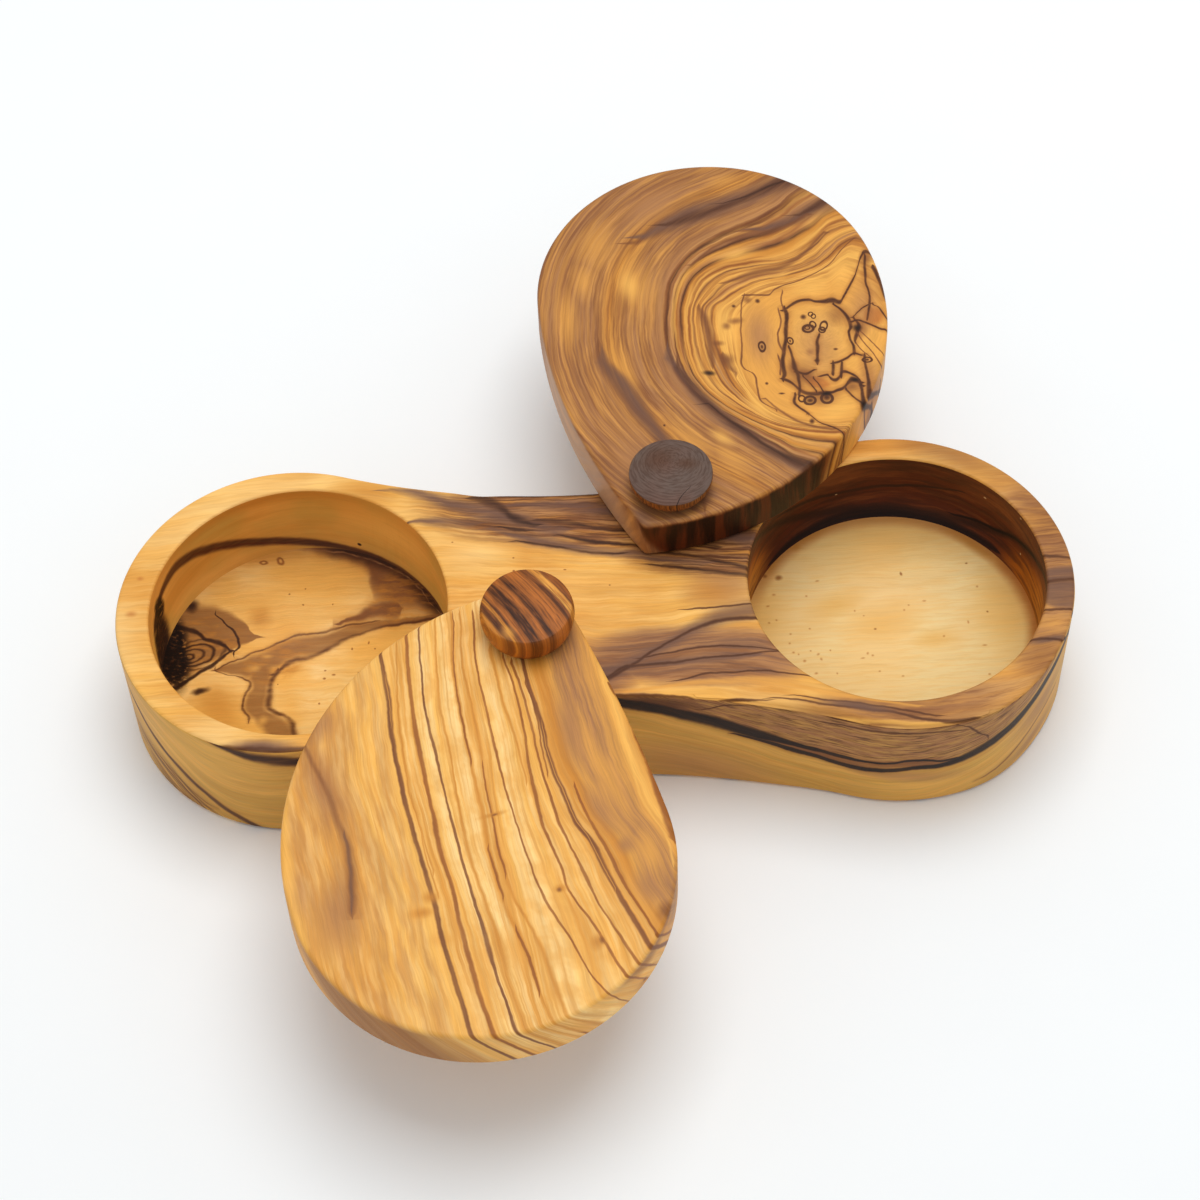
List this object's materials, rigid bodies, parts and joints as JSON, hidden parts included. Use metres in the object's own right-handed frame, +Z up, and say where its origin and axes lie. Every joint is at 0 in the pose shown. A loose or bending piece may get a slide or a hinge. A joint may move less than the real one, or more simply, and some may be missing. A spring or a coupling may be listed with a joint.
{
  "type": "spice box",
  "caption": "Low waisted wooden spice box with round drilled wells, each under a teardrop lid that swings sideways on a dowel below its own knob.",
  "frame": {"origin": "on the underside, midway between the two wells", "axes": "+X along the box towards the right well, +Y to the back, +Z up out of the wells"},
  "size_m": [0.2409, 0.2619, 0.059],
  "materials": {
    "body_wood": "oiled olive wood, golden with dark brown figure, hand sanded",
    "left_lid_wood": "oiled olive wood, pale with lengthwise brown stripes",
    "right_lid_wood": "oiled olive wood, brown with a burl",
    "left_knob_wood": "oiled olive wood, striped side grain",
    "right_knob_wood": "dark end grain, dull",
    "dowel_wood": "plain beech-like dowel, unfinished"
  },
  "bodies": {
    "base": {"box_body": "body_wood", "left_pin": "dowel_wood", "right_pin": "dowel_wood", "left_knob": "left_knob_wood", "right_knob": "right_knob_wood"},
    "left_lid": {"left_lid": "left_lid_wood"},
    "right_lid": {"right_lid": "right_lid_wood"}
  },
  "joints": [
    {"name": "left_lid_swing", "type": "hinge", "parent": "base", "child": "left_lid", "pos_m": [-0.0176, -0.0186, 0.0365], "axis": [0, 0, 1], "range_deg": [-96, 40]},
    {"name": "right_lid_swing", "type": "hinge", "parent": "base", "child": "right_lid", "pos_m": [0.0199, 0.0224, 0.0365], "axis": [0, 0, 1], "range_deg": [-96, 40]}
  ]
}
